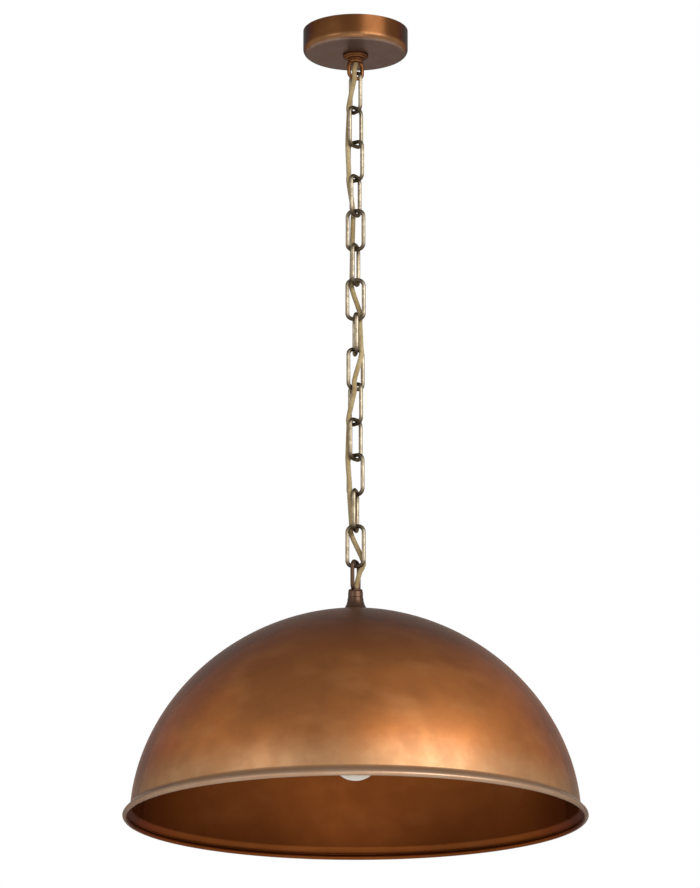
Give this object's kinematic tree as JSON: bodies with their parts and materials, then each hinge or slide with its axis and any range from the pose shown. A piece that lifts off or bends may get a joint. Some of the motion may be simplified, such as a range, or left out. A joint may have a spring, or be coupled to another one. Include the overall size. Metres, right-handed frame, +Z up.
{
  "type": "dome pendant lamp",
  "caption": "Spun metal dome pendant shade with a curled rim and a bell neck, hung from a shallow round ceiling canopy on an oblong-link chain with a fabric flex laid along it.",
  "frame": {"origin": "centre of the mounting bracket's two screw slots, on the ceiling's surface; the lamp hangs below Z = 0", "axes": "+Z up into the ceiling, +X along the bracket's two slots, -Y the side that the lamp is seen from"},
  "size_m": [0.3999, 0.4, 0.7156],
  "materials": {
    "copper_finish": "antique copper-bronze patina, satin",
    "chain_finish": "antique brass, satin",
    "flex_braid": "gold braided fabric over the insulation",
    "zinc": "zinc plated",
    "brass": "plain brass",
    "nylon": "natural nylon",
    "ceramic": "glazed white porcelain",
    "brown_core": "brown insulation",
    "blue_core": "blue insulation",
    "green_core": "green and yellow insulation",
    "solder": "soldered tip contact",
    "black_glass": "black glass insulator",
    "opal_glass": "opal white glass",
    "stem_glass": "clear glass",
    "filament": "tungsten coil"
  },
  "bodies": {
    "ceiling": {"mounting_bracket": "zinc", "canopy_nipple": "brass", "bracket_nuts": "zinc", "canopy_bush": "nylon", "terminal_block": "nylon", "terminal_inserts": "brass", "terminal_screws": "zinc", "terminal_fixing_screw": "zinc", "earth_screw": "brass", "canopy_live_core": "brown_core", "canopy_neutral_core": "blue_core", "canopy_earth_core": "green_core", "canopy": "copper_finish", "canopy_collar": "copper_finish", "canopy_loop": "copper_finish", "flex": "flex_braid"},
    "link_01": {"link_01": "chain_finish"},
    "link_02": {"link_02": "chain_finish"},
    "link_03": {"link_03": "chain_finish"},
    "link_04": {"link_04": "chain_finish"},
    "link_05": {"link_05": "chain_finish"},
    "link_06": {"link_06": "chain_finish"},
    "link_07": {"link_07": "chain_finish"},
    "link_08": {"link_08": "chain_finish"},
    "link_09": {"link_09": "chain_finish"},
    "link_10": {"link_10": "chain_finish"},
    "link_11": {"link_11": "chain_finish"},
    "link_12": {"link_12": "chain_finish"},
    "link_13": {"link_13": "chain_finish"},
    "link_14": {"link_14": "chain_finish"},
    "shade": {"shade_loop": "chain_finish", "bell_cap": "copper_finish", "shade_nipple": "brass", "shade": "copper_finish", "shade_washer": "zinc", "shade_nut": "zinc", "spacer_tube": "brass", "holder_bush": "nylon", "holder_cap": "brass", "grub_screw": "zinc", "holder_skirt": "brass", "ceramic_base": "ceramic", "holder_terminals": "brass", "holder_terminal_screws": "zinc", "centre_contact": "brass", "screw_shell": "brass", "holder_live_core": "brown_core", "holder_neutral_core": "blue_core", "holder_earth_core": "green_core", "holder_earth_screw": "zinc"},
    "bulb_foot": {"bulb_contact": "solder", "bulb_insulator": "black_glass"},
    "bulb": {"bulb_cap": "brass", "bulb_glass": "opal_glass", "bulb_stem": "stem_glass", "bulb_leads": "zinc", "bulb_filament": "filament"}
  },
  "joints": [
    {"name": "swing_01", "type": "hinge", "parent": "ceiling", "child": "link_01", "pos_m": [0, 0, -0.0442], "axis": [0.866, 0.5, 0], "range_deg": [-30, 30], "deforming": ["flex"]},
    {"name": "swing_02", "type": "hinge", "parent": "link_01", "child": "link_02", "pos_m": [0, 0, -0.0762], "axis": [-0.5878, 0.809, 0], "range_deg": [-30, 30], "deforming": ["flex"]},
    {"name": "swing_03", "type": "hinge", "parent": "link_02", "child": "link_03", "pos_m": [0, 0, -0.1082], "axis": [-0.6947, -0.7193, 0], "range_deg": [-30, 30], "deforming": ["flex"]},
    {"name": "swing_04", "type": "hinge", "parent": "link_03", "child": "link_04", "pos_m": [0, 0, -0.1402], "axis": [0.809, -0.5878, 0], "range_deg": [-30, 30], "deforming": ["flex"]},
    {"name": "swing_05", "type": "hinge", "parent": "link_04", "child": "link_05", "pos_m": [0, 0, -0.1722], "axis": [0.5, 0.866, 0], "range_deg": [-30, 30], "deforming": ["flex"]},
    {"name": "swing_06", "type": "hinge", "parent": "link_05", "child": "link_06", "pos_m": [0, 0, -0.2042], "axis": [-0.9703, 0.2419, 0], "range_deg": [-30, 30], "deforming": ["flex"]},
    {"name": "swing_07", "type": "hinge", "parent": "link_06", "child": "link_07", "pos_m": [0, 0, -0.2362], "axis": [-0.342, -0.9397, 0], "range_deg": [-30, 30], "deforming": ["flex"]},
    {"name": "swing_08", "type": "hinge", "parent": "link_07", "child": "link_08", "pos_m": [0, 0, -0.2682], "axis": [1, 0, 0], "range_deg": [-30, 30], "deforming": ["flex"]},
    {"name": "swing_09", "type": "hinge", "parent": "link_08", "child": "link_09", "pos_m": [0, 0, -0.3002], "axis": [-0.1392, 0.9903, 0], "range_deg": [-30, 30], "deforming": ["flex"]},
    {"name": "swing_10", "type": "hinge", "parent": "link_09", "child": "link_10", "pos_m": [0, 0, -0.3322], "axis": [-0.866, -0.5, 0], "range_deg": [-30, 30], "deforming": ["flex"]},
    {"name": "swing_11", "type": "hinge", "parent": "link_10", "child": "link_11", "pos_m": [0, 0, -0.3642], "axis": [0.6691, -0.7431, 0], "range_deg": [-30, 30], "deforming": ["flex"]},
    {"name": "swing_12", "type": "hinge", "parent": "link_11", "child": "link_12", "pos_m": [0, 0, -0.3962], "axis": [0.6157, 0.788, 0], "range_deg": [-30, 30], "deforming": ["flex"]},
    {"name": "swing_13", "type": "hinge", "parent": "link_12", "child": "link_13", "pos_m": [0, 0, -0.4282], "axis": [-0.848, 0.5299, 0], "range_deg": [-30, 30], "deforming": ["flex"]},
    {"name": "swing_14", "type": "hinge", "parent": "link_13", "child": "link_14", "pos_m": [0, 0, -0.4602], "axis": [-0.2079, -0.9781, 0], "range_deg": [-30, 30], "deforming": ["flex"]},
    {"name": "swing_shade", "type": "hinge", "parent": "link_14", "child": "shade", "pos_m": [0, 0, -0.4922], "axis": [0.9848, -0.1736, 0], "range_deg": [-30, 30], "deforming": ["flex"]},
    {"name": "bulb_travel", "type": "slide", "parent": "shade", "child": "bulb_foot", "axis": [0, 0, -1], "range_m": [0, 0.0109]},
    {"name": "bulb_turn", "type": "hinge", "parent": "bulb_foot", "child": "bulb", "pos_m": [0, 0, -0.64665], "axis": [0, 0, -1], "range_deg": [0, 1080]}
  ],
  "couplings": [
    {"joint": "bulb_travel", "follows": "bulb_turn", "m_per_rad": 0.00057773}
  ]
}
